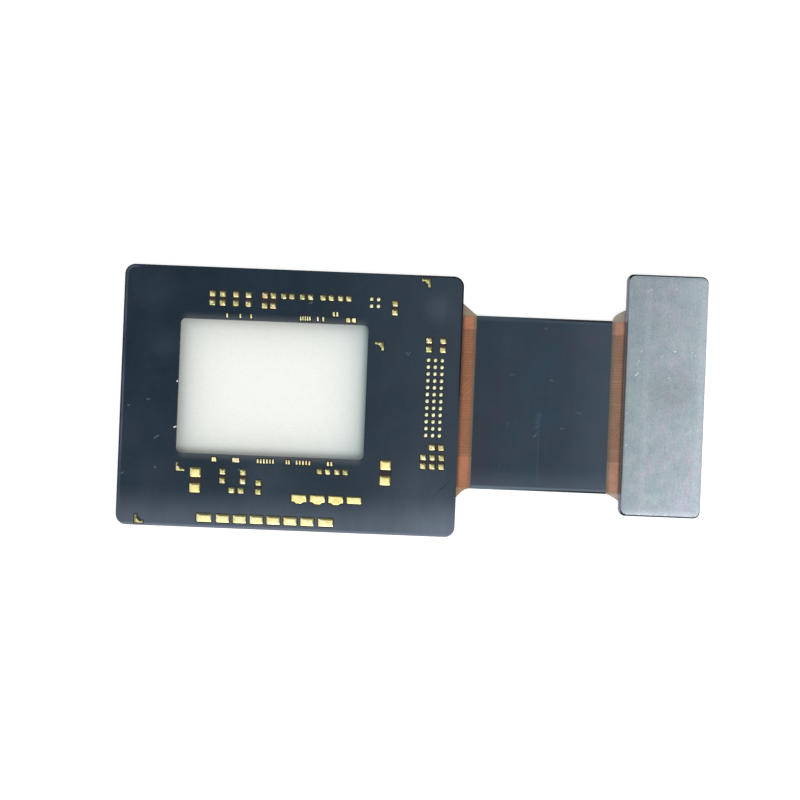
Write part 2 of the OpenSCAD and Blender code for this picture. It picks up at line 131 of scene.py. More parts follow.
class Material:
    """A node material, with short calls for the nodes that this scene uses."""

    def __init__(self, name, **finish):
        self.data = bpy.data.materials.new(name)
        self.data.use_nodes = True
        self.tree = self.data.node_tree
        self.tree.nodes.clear()
        self.bsdf = self.add("BsdfPrincipled", finish)
        output = self.add("OutputMaterial")
        self.tree.links.new(self.bsdf.outputs[0], output.inputs["Surface"])
        coords = self.add("TexCoord").outputs["Object"]
        self.place = self.vector("SCALE", coords, scale=1 / MM)
        split = self.add("SeparateXYZ", {0: self.place})
        self.x, self.y, self.z = split.outputs
        self.flat = self.add("CombineXYZ", {0: self.x, 1: self.y}).outputs[0]

    def add(self, kind, inputs=None, **settings):
        node = self.tree.nodes.new("ShaderNode" + kind)
        for key, value in settings.items():
            setattr(node, key, value)
        for key, value in (inputs or {}).items():
            self.put(node.inputs[key], value)
        return node

    def put(self, socket, value):
        if isinstance(value, bpy.types.NodeSocket):
            self.tree.links.new(value, socket)
        elif socket.type == "RGBA":
            socket.default_value = (*value, 1)
        else:
            socket.default_value = value

    def set(self, **inputs):
        for key, value in inputs.items():
            self.put(self.bsdf.inputs[key.replace("_", " ")], value)

    def math(self, operation, *values, clamp=False):
        inputs = dict(enumerate(values))
        node = self.add("Math", inputs, operation=operation, use_clamp=clamp)
        return node.outputs[0]

    def vector(self, operation, *values, scale=None):
        inputs = dict(enumerate(values))
        if scale is not None:
            inputs["Scale"] = scale
        node = self.add("VectorMath", inputs, operation=operation)
        scalar = operation in ("LENGTH", "DOT_PRODUCT", "DISTANCE")
        return node.outputs["Value" if scalar else "Vector"]

    def smooth(self, value, start, end, low=0.0, high=1.0):
        """Goes smoothly from low to high as value goes from start to end."""
        inputs = {0: value, 1: start, 2: end, 3: low, 4: high}
        node = self.add("MapRange", inputs, interpolation_type="SMOOTHSTEP")
        return node.outputs[0]

    def noise(self, size, detail=2.0, stretch=(1, 1, 1), low=0.0, high=1.0):
        """Soft noise with features of about that size, from low to high."""
        place = self.vector("MULTIPLY", self.place, stretch)
        inputs = {"Vector": place, "Scale": 1 / size, "Detail": detail}
        value = self.add("TexNoise", inputs).outputs[0]
        return self.smooth(value, 0.3, 0.7, low, high)

    def mix(self, share, first, second, blend="MIX"):
        node = self.add("Mix", data_type="RGBA", blend_type=blend)
        for socket, value in ((0, share), (6, first), (7, second)):
            self.put(node.inputs[socket], value)
        return node.outputs[2]

    def shade(self, colour, factor):
        """The colour times a number."""
        return self.vector("SCALE", colour, scale=factor)

    def bump(self, height, depth):
        """Relief from a height of 0 to 1 that stands for this depth."""
        inputs = {"Height": height, "Distance": depth * MM, "Strength": 1.0}
        self.set(Normal=self.add("Bump", inputs).outputs[0])

    def inside(self, box, corner):
        """Distance inwards from the outline of a box with round corners."""
        low, high = (Vector(c) / MM for c in box)
        centre = (low + high) / 2
        half = (high - low) / 2 - Vector((corner, corner, 0))
        away = self.vector("ABSOLUTE", self.vector("SUBTRACT", self.flat, (centre.x, centre.y, 0)))
        beyond = self.vector("SUBTRACT", away, (half.x, half.y, 0))
        rounded = self.vector("LENGTH", self.vector("MAXIMUM", beyond, (0, 0, 0)))
        sides = self.add("SeparateXYZ", {0: beyond})
        nearest = self.math("MAXIMUM", sides.outputs[0], sides.outputs[1])
        straight = self.math("MINIMUM", nearest, 0.0)
        return self.math("SUBTRACT", corner, self.math("ADD", rounded, straight))

    def band(self, value, centre, width):
        """1 on a line at that value, falling to 0 over the width on both sides."""
        away = self.math("ABSOLUTE", self.math("SUBTRACT", value, centre))
        return self.smooth(away, width, 0.0)

    def scratch(self, start, end, width):
        """1 along a line between two points, and 0 beyond the width."""
        first, last = Vector((*start, 0)), Vector((*end, 0))
        run = last - first
        from_first = self.vector("SUBTRACT", self.flat, tuple(first))
        along = self.vector("DOT_PRODUCT", from_first, tuple(run / run.length_squared))
        held = self.math("MAXIMUM", self.math("MINIMUM", along, 1.0), 0.0)
        nearest = self.vector("SCALE", tuple(run), scale=held)
        away = self.vector("LENGTH", self.vector("SUBTRACT", from_first, nearest))
        return self.smooth(away, width, width * 0.3)

    def spot(self, centre, radius, soft=1.0):
        away = self.vector("DISTANCE", self.flat, (*centre, 0))
        return self.smooth(away, radius, radius * (1 - soft))

    def level(self):
        """1 on faces that lie flat, 0 on upright ones."""
        normal = self.add("NewGeometry").outputs["True Normal"]
        upright = self.add("SeparateXYZ", {0: normal}).outputs[2]
        return self.smooth(self.math("ABSOLUTE", upright), 0.4, 0.8)

    def most(self, values):
        """The greatest of several numbers."""
        found = values[0]
        for value in values[1:]:
            found = self.math("MAXIMUM", found, value)
        return found


def centre_mm(node):
    low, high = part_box(node)
    middle = (low + high) / 2 / MM
    return middle.x, middle.y


def marks(material, node, lines):
    """Scratches and ticks, given from the middle of the node as (x, y, dx, dy, width)."""
    x0, y0 = centre_mm(node)
    found = []
    for x, y, dx, dy, width in lines:
        start = (x0 + x - dx / 2, y0 + y - dy / 2)
        end = (x0 + x + dx / 2, y0 + y + dy / 2)
        found.append(material.scratch(start, end, width))
    return material.most(found)


def marked(material, colour, node, lines, share, tint):
    """The colour, with marks of a tint laid over it at a share."""
    shown = material.math("MULTIPLY", marks(material, node, lines), share)
    return material.mix(shown, colour, tint)


# Materials

MASK_SHINE = 0.17
MASK_DARK = (0.0068, 0.0235, 0.0385)
MASK_PURPLE = (0.014, 0.0205, 0.039)
MASK_SHEEN = (0.17, 0.21, 0.27)
MASK_RIM = (0.0, 0.001, 0.002)
MASK_BY_WINDOW = (0.2, 0.215, 0.225)
MASK_LINE = (0.085, 0.1, 0.16)
MASK_EDGE_LIGHT = (0.21, 0.24, 0.32)
DUST = (0.42, 0.5, 0.52)
BURR = (0.95, 0.97, 0.9)
BOARD_MARKS = (
    (-6.25, -0.19, 0.04, -0.04, 0.04),
    (-6.17, -0.19, 0.04, 0.04, 0.04),
    (-7.06, -0.49, 0.06, 0.0, 0.04),
    (-5.79, -1.82, 0.16, 0.12, 0.05),
    (-5.79, -3.16, 0.04, 0.02, 0.05),
    (-7.23, -3.47, 0.06, 0.05, 0.05),
    (-2.1, -3.13, 0.05, 0.04, 0.05),
    (0.75, 4.31, 0.1, 0.03, 0.05),
)
BOARD_FAINT_MARKS = (
    (5.06, 2.25, 0.08, -0.12, 0.03),
    (5.15, 2.26, 0.08, 0.14, 0.03),
)
BOARD_BURRS = (
    (-4.97, 0.65, 0.01, 0.02, 0.05),
    (-4.99, -1.36, 0.08, 0.03, 0.045),
)
BOARD_SCRATCH = (6.82, -3.58, 0.81, 0.82, 0.05)
# Pale patches on the sensor board, from its middle: place, radius and share of the sheen colour. The
# ones low on the right are painted sheen.
BOARD_PALE_PATCHES = (
    ((6.4, 4.3), 1.0, 0.12),
    ((-5.6, 2.2), 1.1, 0.05),
    ((-6.1, 4.7), 1.5, 0.05),
    ((-5.9, -3.6), 1.5, 0.05),
    ((-7.0, -1.2), 1.8, 0.05),
    ((-0.8, -3.6), 2.6, 0.1),
    ((5.6, -4.3), 2.6, 0.11),
    ((7.2, -5.6), 2.2, 0.28),
)


def mask_base(material):
    """Colour of plain solder mask, with the cloudy look of a printed coat."""
    clouds = material.noise(1.6, 3.0, low=0.86, high=1.14)
    grain = material.noise(0.12, 2.0, low=0.93, high=1.07)
    colour = material.mix(material.noise(0.8, 3.0, low=0.0, high=0.4), MASK_DARK, MASK_PURPLE)
    return material.shade(colour, material.math("MULTIPLY", clouds, grain))


def mask_finish(material):
    """Satin sheen, and the fine orange peel of the cured coat."""
    material.set(Roughness=material.noise(0.7, 2.0, low=0.4, high=0.5))
    peel = material.noise(0.16, 3.0)
    broad = material.noise(1.1, 1.0)
    material.bump(material.math("ADD", peel, broad), 0.0012)
    return material.data


def mask_material(name):
    return Material(name, **{"Specular IOR Level": MASK_SHINE})


def solder_mask():
    material = mask_material("solder_mask")
    material.set(Base_Color=mask_base(material))
    return mask_finish(material)


def sensor_sheen_and_patches(material, x0, y0):
    """Share of painted sheen: more to the right and low down, and at the pale patches."""
    right = material.smooth(material.x, x0 - 1.0, x0 + 8.0, 0.0, 0.12)
    half_way = material.smooth(material.y, y0, y0 - 3.0, 0.0, 0.03)
    lower = material.smooth(material.y, y0 - 3.8, y0 - 5.75, 0.0, 0.46)
    painted_light = material.math("ADD", material.math("ADD", right, half_way), lower)
    for (x, y), radius, share in BOARD_PALE_PATCHES:
        smudge = material.spot((x0 + x, y0 + y), radius)
        painted_light = material.math("MULTIPLY_ADD", smudge, share, painted_light)
    sheen_streaks = material.noise(0.5, 3.0, stretch=(1, 0.35, 1), low=0.93, high=1.07)
    return material.math("MULTIPLY", painted_light, sheen_streaks, clamp=True)


def sensor_rim(material, colour, node):
    """Painted light on the board's edge: a dark rim of painted shade at the upper right, a pale line
    of painted highlight on the left and painted sheen on the lower edge.
    """
    x0, y0 = centre_mm(node)
    rim = material.inside(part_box(node), BOARD_CORNER_MM)
    right_top = material.smooth(material.math("MINIMUM", material.x, material.y), -1.0, 1.0)
    dark = material.math("MULTIPLY", material.smooth(rim, 0.1, 0.03), right_top)
    colour = material.mix(dark, colour, MASK_RIM)
    left = material.smooth(material.x, x0 - 6.6, x0 - 7.1, 0.0, material.noise(1.4, 2.0, low=0.35))
    line = material.math("MULTIPLY", material.band(rim, 0.1, 0.07), left)
    colour = material.mix(line, colour, MASK_LINE)
    low_edge = material.smooth(material.y, y0 - 5.56, y0 - 5.68)
    return material.mix(material.math("MULTIPLY", low_edge, 0.7), colour, MASK_EDGE_LIGHT)


def pale_by_window(material, colour):
    """Painted glow: the mask is paler along the window's two long sides, beside the bright window.
    """
    window = opening_box()
    low, high = (Vector(c) / MM for c in window)
    middle, half = (low.x + high.x) / 2, (high.x - low.x) / 2
    along = material.math("ABSOLUTE", material.math("SUBTRACT", material.x, middle))
    long_side = material.smooth(along, half + 0.05, half - 0.4)
    close = material.smooth(material.inside(window, WINDOW_CORNER_MM), -0.35, 0.02, 0.0, 0.3)
    return material.mix(material.math("MULTIPLY", close, long_side), colour, MASK_BY_WINDOW)


def sensor_mask():
    """Front of the sensor board: plain mask with painted sheen and pale patches, painted light and
    shade on the rim, a painted glow by the window, dust, burrs and a scratch.
    """
    node = "sensor_board_front_mask"
    material = mask_material("solder_mask_front")
    # Painted sheen low down and to the right, with the pale patches
    painted_light = sensor_sheen_and_patches(material, *centre_mm(node))
    colour = material.mix(painted_light, mask_base(material), MASK_SHEEN)
    colour = sensor_rim(material, colour, node)
    colour = pale_by_window(material, colour)
    colour = marked(material, colour, node, BOARD_MARKS, 0.17, DUST)
    colour = marked(material, colour, node, BOARD_BURRS, 0.8, BURR)
    colour = marked(material, colour, node, BOARD_FAINT_MARKS, 0.12, DUST)
    broken = material.noise(0.12, 2.0, low=0.05, high=0.4)
    colour = marked(material, colour, node, (BOARD_SCRATCH,), broken, MASK_RIM)
    material.set(Base_Color=colour)
    return mask_finish(material)


PLUG_LEDGE_HIGHLIGHT = (0.34, 0.34, 0.46)
PLUG_SHADOW_BY_NECK = (0.16, 0.14, 0.13)


def plug_mask():
    """Mask of the connector board, with a painted highlight on the ledge beside the steel plate, and
    painted shadow on the ledge beside the neck.
    """
    material = mask_material("solder_mask_plug")
    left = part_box("stiffener")[0].x / MM
    ledge = material.smooth(material.x, left + 0.02, left - 0.02, 0.0, 0.8)
    pale = material.mix(beyond_tail(material), PLUG_SHADOW_BY_NECK, PLUG_LEDGE_HIGHLIGHT)
    material.set(Base_Color=material.mix(ledge, mask_base(material), pale))
    return mask_finish(material)


LAMINATE_RESIN = (0.13, 0.085, 0.035)
LAMINATE_GLASS = (0.3, 0.24, 0.12)
LAMINATE_FACE = (0.017, 0.008, 0.009)


def laminate():
    """Glass and resin laminate. The weave shows as fine layers along the cut edges."""
    material = Material("laminate", Roughness=0.55, **{"Specular IOR Level": 0.4})
    layers = material.noise(0.02, 1.0, stretch=(0.06, 0.06, 1))
    tufts = material.noise(0.09, 3.0)
    share = material.math("MULTIPLY", layers, tufts)
    cut_edge = material.mix(share, LAMINATE_RESIN, LAMINATE_GLASS)
    material.set(Base_Color=material.mix(material.level(), cut_edge, LAMINATE_FACE))
    material.bump(tufts, 0.006)
    return material.data


AMBER = (0.44, 0.185, 0.095)
AMBER_PINK = (0.385, 0.228, 0.162)
AMBER_SHADE = (0.15, 0.065, 0.04)
AMBER_FILM_SHADE = (0.2, 0.16, 0.11)
AMBER_FLARE = (0.48, 0.31, 0.17)
AMBER_FLARE_PALE = (0.62, 0.53, 0.5)
FLARE_OLIVE = (0.22, 0.27, 0.22)
CORE_AMBER = (0.72, 0.47, 0.26)
CORE_FLARE = (0.5, 0.33, 0.2)


def beyond_tail(material):
    """1 on the parts of the flex beside the straight tail, where no copper lies under it."""
    low, high = (c.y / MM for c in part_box("front_shield_film"))
    away = material.math("ABSOLUTE", material.math("SUBTRACT", material.y, (low + high) / 2))
    half = (high - low) / 2
    return material.smooth(away, half - 0.1, half + 0.05)


def ground_strips(material):
    """1 over the wide copper strip along the tail's lower side, and along its upper side."""
    low, high = (Vector(c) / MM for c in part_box("front_traces"))
    lower_top = low.y + GROUND_LOWER_MM
    upper_bottom = high.y - GROUND_UPPER_MM
    lower = material.smooth(material.y, lower_top + GROUND_EDGE_MM, lower_top - GROUND_EDGE_MM)
    upper = material.smooth(material.y, upper_bottom - GROUND_EDGE_MM, upper_bottom + GROUND_EDGE_MM)
    return lower, upper


def flare_tint(material, by_plug):
    """Colour of the flares: paler by the connector board, and olive on the upper side."""
    colour = material.mix(by_plug, AMBER_FLARE, AMBER_FLARE_PALE)
    upper = material.smooth(material.y, -1.0, 1.0, 0.0, 0.6)
    return material.mix(upper, colour, FLARE_OLIVE)


def coverlay():
    """Amber film over the copper: see-through and glossy, with painted shade where it meets the
    shielding film and painted shadow where it meets the boards, and more opaque there.
    """
    material = Material("coverlay", **{"Specular IOR Level": 0.4})
    film_low, film_high = (c.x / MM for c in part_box("front_shield_film"))
    clouds = material.noise(0.8, 2.0, low=0.9, high=1.1)
    by_plug = material.smooth(material.x, film_low, film_high)
    colour = material.shade(material.mix(by_plug, AMBER, AMBER_PINK), clouds)
    middle = (film_low + film_high) / 2
    away = material.math("ABSOLUTE", material.math("SUBTRACT", material.x, middle))
    # Painted shade, olive, along the edges of the shielding film
    by_film = material.smooth(away, film_high - middle + 0.24, film_high - middle)
    colour = material.mix(by_film, colour, AMBER_FILM_SHADE)
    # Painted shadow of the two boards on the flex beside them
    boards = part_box("sensor_board_front_mask")[1].x / MM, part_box("stiffener")[0].x / MM
    half_span = (boards[1] - boards[0]) / 2
    by_board = material.smooth(away, half_span - 0.2, half_span - 0.02)
    colour = material.mix(material.math("MULTIPLY", by_board, 0.8), colour, AMBER_SHADE)
    flare = beyond_tail(material)
    colour = material.mix(flare, colour, flare_tint(material, by_plug))
    over_ground = material.math("MAXIMUM", *ground_strips(material))
    colour = material.shade(colour, material.smooth(over_ground, 0, 1, 1.0, 1.24))
    material.set(Base_Color=colour)
    material.set(Roughness=material.noise(0.4, 2.0, low=0.24, high=0.36))
    opaque_where_shaded = material.smooth(material.math("MAXIMUM", by_film, by_board), 0.0, 1.0, 0.4, 0.6)
    material.set(Alpha=material.math("MULTIPLY", opaque_where_shaded, material.smooth(flare, 0, 1, 1.0, 0.8)))
    material.bump(material.noise(0.3, 1.0), 0.001)
    return material.data


def polyimide():
    material = Material("polyimide", **{"Specular IOR Level": 0.3})
    grain = material.noise(0.3, 3.0, low=0.85, high=1.15)
    flare = beyond_tail(material)
    colour = material.mix(flare, CORE_AMBER, CORE_FLARE)
    material.set(Base_Color=material.shade(colour, grain))
    material.set(Roughness=material.noise(0.5, 1.0, low=0.3, high=0.42))
    cloudy = material.noise(0.7, 2.0, low=0.74, high=0.84)
    thinner = material.smooth(flare, 0, 1, 1.0, 0.8)
    material.set(Alpha=material.math("MULTIPLY", cloudy, thinner))
    return material.data


COPPER = (1.0, 0.52, 0.36)
COPPER_DULL = (0.36, 0.15, 0.085)


def copper():
    """Etched copper, brightest on the wide ground strips."""
    material = Material("copper", Metallic=1.0)
    ground = material.math("MAXIMUM", *ground_strips(material))
    stain = material.noise(0.35, 3.0, low=0.7, high=1.0)
    share = material.math("MULTIPLY", material.smooth(ground, 0, 1, 0.26, 1.0), stain)
    material.set(Base_Color=material.mix(share, COPPER_DULL, COPPER))
    material.set(Roughness=material.noise(0.2, 2.0, low=0.35, high=0.5))
    material.bump(material.noise(0.05, 2.0, stretch=(0.15, 1, 1)), 0.001)
    return material.data


FILM = (0.012, 0.0375, 0.061)
FILM_PURPLE = (0.023, 0.034, 0.058)
FILM_STREAK_TINT = (0.055, 0.075, 0.1)
FILM_EDGE = (0.006, 0.01, 0.014)
FILM_RIM = (0.17, 0.23, 0.29)
FILM_TICKS = (
    (-1.31, 1.27, 0.18, 0.03, 0.04),
    (0.4, 1.08, 0.1, -0.02, 0.05),
    (1.64, -0.3, 0.18, -0.03, 0.06),
    (0.09, 3.38, 0.07, 0.07, 0.05),
    (0.92, -1.01, 0.14, 0.02, 0.05),
    (-1.75, -2.78, 0.04, 0.08, 0.06),
    (-0.22, -1.36, 0.08, 0.12, 0.06),
    (-1.45, -0.95, 0.03, 0.12, 0.06),
)
FILM_SCRATCHES = (
    (-0.12, -0.7, 0.06, 0.5, 0.16),
    (-0.14, -0.5, 0.03, 0.03, 0.06),
    (-0.15, -0.68, 0.03, 0.03, 0.06),
    (-0.19, -0.86, 0.04, 0.04, 0.06),
    (-0.13, -1.24, 0.16, 0.24, 0.07),
)
FILM_SCRATCH_COLOUR = (0.07, 0.13, 0.25)
FILM_STREAK = (-0.07, -2.4, 0.0, 2.2, 0.06)


def film_edges(material, colour, low, high):
    """Painted highlights as pale rims along the two cut sides, and painted shadow as a dark line at
    each cut.
    """
    upper_rim = material.smooth(material.y, high.y - 0.24, high.y - 0.12, 0.0, 0.12)
    lower_rim = material.smooth(material.y, low.y + 0.2, low.y + 0.1, 0.0, 0.6)
    colour = material.mix(material.math("MAXIMUM", upper_rim, lower_rim), colour, FILM_RIM)
    along = material.smooth(material.x, low.x + 0.5, high.x - 1.0)
    upper_cut = material.smooth(material.y, high.y - 0.12, high.y - 0.08)
    lower_cut = material.smooth(material.y, low.y + 0.1, low.y + 0.06)
    cut = material.math("MAXIMUM", upper_cut, lower_cut)
    return material.mix(material.math("MULTIPLY", cut, along), colour, FILM_EDGE)


def film_wear(material, colour, node):
    """One streak, a group of scratches and scattered ticks."""
    colour = marked(material, colour, node, (FILM_STREAK,), 0.25, FILM_STREAK_TINT)
    uneven = material.noise(0.1, 2.0, low=0.0, high=0.32)
    colour = marked(material, colour, node, FILM_SCRATCHES, uneven, FILM_SCRATCH_COLOUR)
    broken = material.noise(0.08, 2.0, low=0.0, high=0.14)
    return marked(material, colour, node, FILM_TICKS, broken, DUST)


def shield_film(name, node, worn):
    """Dark shielding film: satin, with faint cross streaks, painted shade towards the left and
    painted sheen low down and to the right. The front is worn as well.
    """
    material = Material(name, **{"Specular IOR Level": 0.3})
    streaks = material.noise(0.3, 2.0, stretch=(1, 0.12, 1), low=0.96, high=1.04)
    clouds = material.noise(1.8, 2.0, low=0.92, high=1.08)
    colour = material.mix(material.noise(1.2, 2.0, low=0.0, high=0.8), FILM, FILM_PURPLE)
    colour = material.shade(colour, material.math("MULTIPLY", streaks, clouds))
    low, high = (Vector(c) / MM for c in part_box(node))
    # Painted sheen low down and to the right, and painted shade at the left
    lower = material.smooth(material.y, low.y + 1.1, low.y, 0.0, 0.2)
    right = material.smooth(material.x, high.x - 2.5, high.x, 0.0, 0.12)
    left = material.smooth(material.x, low.x, low.x + 2.2, 0.78, 1.0)
    colour = material.shade(colour, left)
    colour = material.mix(material.math("ADD", lower, right), colour, MASK_SHEEN)
    colour = film_edges(material, colour, low, high)
    if worn:
        colour = film_wear(material, colour, node)
    material.set(Base_Color=colour)
    material.set(Roughness=material.noise(0.6, 2.0, low=0.45, high=0.5))
    material.bump(material.noise(0.14, 2.0, stretch=(0.3, 1, 1)), 0.001)
    return material.data


STEEL = (0.385, 0.462, 0.508)
STEEL_PINK = (0.45, 0.455, 0.52)
STEEL_GREEN = (0.375, 0.47, 0.475)
STEEL_SHADE = (0.34, 0.385, 0.42)
STEEL_SPECKS = (
    (0.37, 1.98, 0.04, 0.01, 0.05),
    (-1.08, 1.95, 0.04, 0.06, 0.03),
    (-1.29, 0.89, 0.07, 0.04, 0.045),
    (-1.22, 0.97, 0.04, 0.06, 0.03),
    (-0.76, 4.66, 0.08, 0.07, 0.025),
    (-0.9, 4.56, 0.06, 0.05, 0.025),
    (-1.22, 1.42, 0.08, 0.26, 0.02),
    (-1.62, -0.8, 0.02, 0.03, 0.04),
    (-1.62, -2.2, 0.02, 0.03, 0.04),
    (0.16, 0.82, 0.08, 0.02, 0.02),
    (-0.2, 1.72, 0.02, 0.05, 0.025),
    (1.15, 1.95, 0.07, 0.03, 0.02),
    (1.26, 1.84, 0.02, 0.03, 0.03),
    (1.55, 1.45, 0.03, 0.04, 0.03),
    (0.35, 4.72, 0.03, 0.02, 0.03),
)
STEEL_STREAK = (-0.85, 0.0, 0.0, 9.4, 0.2)
STEEL_SHEEN = (0.62, 0.68, 0.76)
STEEL_BRIGHT = (0.82, 0.88, 0.96)


def sparkle(material, colour):
    """Fine grains that catch the light, some cool and some warm."""
    fine = material.noise(0.05, 1.0, low=0.92, high=1.08)
    warm = material.noise(0.09, 1.0, low=-0.3, high=0.25)
    cool = material.noise(0.11, 1.0, low=-0.3, high=0.25)
    colour = material.mix(material.math("MAXIMUM", warm, 0.0), colour, STEEL_PINK)
    colour = material.mix(material.math("MAXIMUM", cool, 0.0), colour, STEEL_GREEN)
    return material.shade(colour, fine)


def steel_sheen(material, colour, right, y0):
    """Painted sheen along the right side, at the upper right corner, on a streak and on the lower
    rim.
    """
    x0 = centre_mm("stiffener")[0]
    side = material.smooth(material.x, right - 0.5, right - 0.12, 0.0, 0.4)
    corner = material.math("MULTIPLY", material.spot((x0 + 1.5, y0 + 4.8), 1.3), 0.3)
    streak = material.math("MULTIPLY", marks(material, "stiffener", (STEEL_STREAK,)), 0.12)
    colour = material.mix(material.most([side, corner, streak]), colour, STEEL_SHEEN)
    low_rim = material.smooth(material.y, y0 - 4.95, y0 - 5.3, 0.0, 0.6)
    return material.mix(low_rim, colour, STEEL_BRIGHT)


def steel():
    """Satin rolled steel: grain across the board, faint tints and bright specks, with painted shade
    in the middle, painted light towards the right and low down, and painted sheen on one streak.
    """
    material = Material("steel", Metallic=1.0)
    grain = material.noise(0.06, 3.0, stretch=(1, 0.1, 1), low=0.96, high=1.04)
    clouds = material.noise(0.5, 3.0, low=0.95, high=1.05)
    tint = material.mix(material.noise(1.3, 2.0), STEEL_GREEN, STEEL_PINK)
    colour = material.mix(material.noise(0.5, 3.0), STEEL, tint)
    colour = material.shade(colour, material.math("MULTIPLY", grain, clouds))
    low, high = (c.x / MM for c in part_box("stiffener"))
    # Painted light: brighter towards the right and low down, with painted shade in the middle
    colour = material.shade(colour, material.smooth(material.x, low, high, 0.94, 1.08))
    x0, y0 = centre_mm("stiffener")
    colour = material.mix(material.spot((x0 + 0.2, y0 + 0.2), 1.8), colour, STEEL_SHADE)
    lower = material.smooth(material.y, y0 - 3.0, y0 - 5.2, 1.0, 1.1)
    colour = material.shade(colour, lower)
    colour = sparkle(material, steel_sheen(material, colour, high, y0))
    broken = material.noise(0.06, 2.0, low=0.15, high=0.7)
    colour = marked(material, colour, "stiffener", STEEL_SPECKS, broken, WHITE)
    material.set(Base_Color=colour)
    material.set(Roughness=material.noise(0.25, 3.0, low=0.63, high=0.69))
    material.bump(material.noise(0.06, 3.0, stretch=(1, 0.3, 1)), 0.0012)
    return material.data


def adhesive():
    material = Material("adhesive", Roughness=0.35)
    milk = material.noise(0.2, 2.0)
    material.set(Base_Color=material.mix(milk, (0.45, 0.42, 0.33), (0.62, 0.6, 0.5)))
    material.bump(milk, 0.004)
    return material.data


GOLD = (1.0, 0.88, 0.33)
GOLD_PALE = (1.0, 1.0, 0.65)
GOLD_DEEP = (0.95, 0.7, 0.22)
GOLD_SMALL = (0.66, 0.62, 0.25)
GOLD_GREEN = (0.34, 0.41, 0.16)
GOLD_PINK = (0.84, 0.5, 0.32)
GOLD_FLANK_SHADE = (0.1, 0.11, 0.035)
GOLD_BALL = (0.94, 0.94, 0.68)
GOLD_BALL_GREEN = (0.78, 0.84, 0.5)
BALL_FLANK_SHADE = (0.17, 0.17, 0.07)
FLANK_SIDE = (0.45, 0.9, 0.0)
BALL_FLANK = (0.8, -0.6, 0.0)


def flank(material, colour):
    """Painted shade on the upper right flank of each land."""
    normal = material.add("NewGeometry").outputs["Normal"]
    side = material.vector("DOT_PRODUCT", normal, FLANK_SIDE)
    return material.mix(material.smooth(side, 0.006, 0.045, 0.0, 0.9), colour, GOLD_FLANK_SHADE)


def small_gold(name, pink, level):
    """Gold of the small lands, whose tint wanders from land to land."""
    material = Material(name, Metallic=1.0)
    green = material.noise(0.34, 1.0, low=0.0, high=0.9)
    colour = material.mix(green, GOLD_SMALL, GOLD_GREEN)
    shifted = material.noise(0.46, 2.0, stretch=(1, 1.3, 1), low=-0.5, high=pink)
    colour = material.mix(material.math("MAXIMUM", shifted, 0.0), colour, GOLD_PINK)
    glint = material.noise(0.13, 2.0, low=-0.6, high=0.9)
    colour = material.mix(material.math("MAXIMUM", glint, 0.0), colour, GOLD_PALE)
    colour = material.shade(colour, level)
    material.set(Base_Color=flank(material, colour))
    material.set(Roughness=material.noise(0.1, 2.0, low=0.34, high=0.5))
    material.bump(material.noise(0.05, 3.0), 0.003)
    return material.data


def gold(name, pale):
    """Gold over nickel and copper: grainy, paler on fresh lands, with deeper blotches."""
    material = Material(name, Metallic=1.0)
    blotches = material.noise(0.22, 3.0, low=pale - 0.25, high=pale + 0.25)
    colour = material.mix(blotches, GOLD, GOLD_PALE)
    deep = material.noise(0.4, 2.0, low=-0.5, high=0.6)
    colour = material.mix(material.math("MAXIMUM", deep, 0.0), colour, GOLD_DEEP)
    material.set(Base_Color=flank(material, colour))
    material.set(Roughness=material.noise(0.1, 2.0, low=0.3, high=0.46))
    material.bump(material.noise(0.03, 3.0), 0.0018)
    return material.data


def ball_gold():
    """Silvery gold of the round lands, with painted shade on two opposite flanks of each."""
    material = Material("gold_plating_balls", Metallic=1.0)
    colour = material.mix(material.noise(0.5, 1.0), GOLD_BALL, GOLD_BALL_GREEN)
    normal = material.add("NewGeometry").outputs["Normal"]
    side = material.math("ABSOLUTE", material.vector("DOT_PRODUCT", normal, BALL_FLANK))
    shaded_flank = material.smooth(side, 0.06, 0.2, 0.0, 0.9)
    material.set(Base_Color=material.mix(shaded_flank, colour, BALL_FLANK_SHADE))
    material.set(Roughness=material.noise(0.1, 2.0, low=0.3, high=0.46))
    material.bump(material.noise(0.03, 3.0), 0.0018)
    return material.data


# Meshes


def merged_copy(node):
    """The node's mesh in millimetres, with its flat faces joined into one each."""
    mesh = bmesh.new()
    mesh.from_mesh(frame["nodes"][node].data)
    mesh.transform(Matrix.Scale(1 / MM, 4))
    bmesh.ops.remove_doubles(mesh, verts=mesh.verts, dist=WELD_MM)
    bmesh.ops.dissolve_limit(mesh, angle_limit=FLAT_ANGLE, verts=mesh.verts, edges=mesh.edges)
    bmesh.ops.recalc_face_normals(mesh, faces=mesh.faces)
    return mesh


def piece(name, mesh, slot, material, *nodes):
    """An object from a mesh in millimetres, which stands for the given nodes."""
    mesh.transform(Matrix.Scale(MM, 4))
    data = bpy.data.meshes.new(name)
    mesh.to_mesh(data)
    mesh.free()
    data.shade_smooth()
    data.set_sharp_from_angle(angle=SHARP_ANGLE)
    made = bpy.data.objects.new(name, data)
    bpy.context.scene.collection.objects.link(made)
    made.data.materials.append(material)
    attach(made, "root")
    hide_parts(*nodes)
    return made


def paint(material, *nodes):
    for node in nodes:
        slots = frame["nodes"][node].data.materials
        slots.clear()
        slots.append(material)


def shrunk(outline, step):
    """The outline drawn in by a step on each side, about the middle of its box."""
    spans = [(min(c[axis] for c in outline), max(c[axis] for c in outline)) for axis in (0, 1)]
    middle = [(low + high) / 2 for low, high in spans]
    half = [span[1] - centre for span, centre in zip(spans, middle)]
    moved = []
    for corner in outline:
        x, y = (middle[i] + (corner[i] - middle[i]) * (1 - step / half[i]) for i in (0, 1))
        moved.append(Vector((x, y, corner.z)))
    return moved


def crown_height(ring):
    """Height of a quarter-round rim, with 1 where it meets the flat middle."""
    return LAND_CROWN_MM * math.sqrt(1 - max(1 - ring, 0) ** 2)


